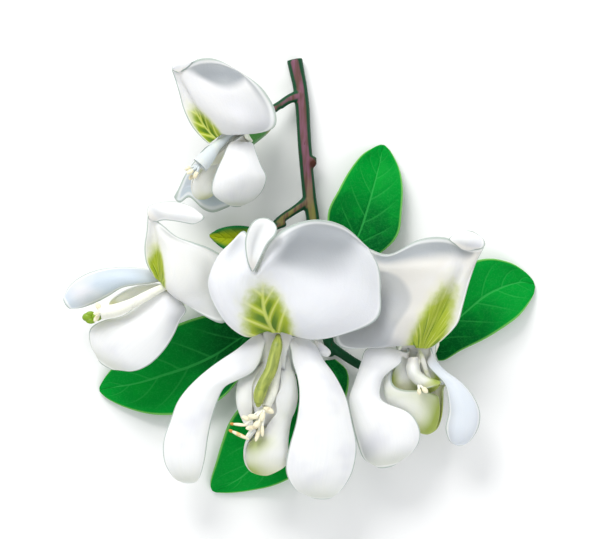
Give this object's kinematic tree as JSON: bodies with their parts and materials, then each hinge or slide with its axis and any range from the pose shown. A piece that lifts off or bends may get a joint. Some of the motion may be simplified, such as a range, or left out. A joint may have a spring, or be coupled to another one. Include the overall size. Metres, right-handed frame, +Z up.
{
  "type": "false acacia flower spray",
  "caption": "Cut spray of white pea-shaped blossoms and green leaflets on a thin woody twig, lying flat as a decoration or botanical piece.",
  "frame": {"origin": "on the surface that the spray lies on, under the middle of its outline", "axes": "+Z up out of the surface, towards the viewer of the blossoms; +Y towards the cut end of the twig; +X to the right seen from above"},
  "size_m": [0.0594, 0.0558, 0.0165],
  "materials": {
    "bark": "thin smooth bark, mauve-brown with green sides, satin",
    "leaf": "fresh leaf, satin sheen, paler midrib and fine veins",
    "young_leaf": "young leaf, yellow-green with a dark green edge, satin",
    "calyx": "soft green cup with a russet tinge, matt",
    "banner_petal": "white petal, soft sheen, yellow-green veined patch at its foot",
    "wing_petal": "white petal with a faint blue shade, soft sheen",
    "keel_petal": "ivory petal with a pale green tip, soft sheen",
    "stamens": "cream, matt, pale yellow anthers",
    "pistil": "lime green, satin"
  },
  "bodies": {
    "root": {"twig": "bark", "leaflet_top": "leaf", "leaflet_right": "leaf", "leaflet_left": "leaf", "leaflet_low": "leaf", "leaflet_young": "young_leaf", "calyx_upper": "calyx", "banner_upper": "banner_petal", "wing_front_upper": "wing_petal", "wing_back_upper": "wing_petal", "keel_upper": "keel_petal", "stamens_upper": "stamens", "pistil_upper": "pistil", "calyx_left": "calyx", "banner_left": "banner_petal", "wing_front_left": "wing_petal", "wing_back_left": "wing_petal", "keel_left": "keel_petal", "stamens_left": "stamens", "pistil_left": "pistil", "calyx_middle": "calyx", "banner_middle": "banner_petal", "wing_front_middle": "wing_petal", "wing_back_middle": "wing_petal", "keel_middle": "keel_petal", "stamens_middle": "stamens", "pistil_middle": "pistil", "calyx_right": "calyx", "banner_right": "banner_petal", "wing_front_right": "wing_petal", "wing_back_right": "wing_petal", "keel_right": "keel_petal", "stamens_right": "stamens", "pistil_right": "pistil"}
  },
  "joints": []
}
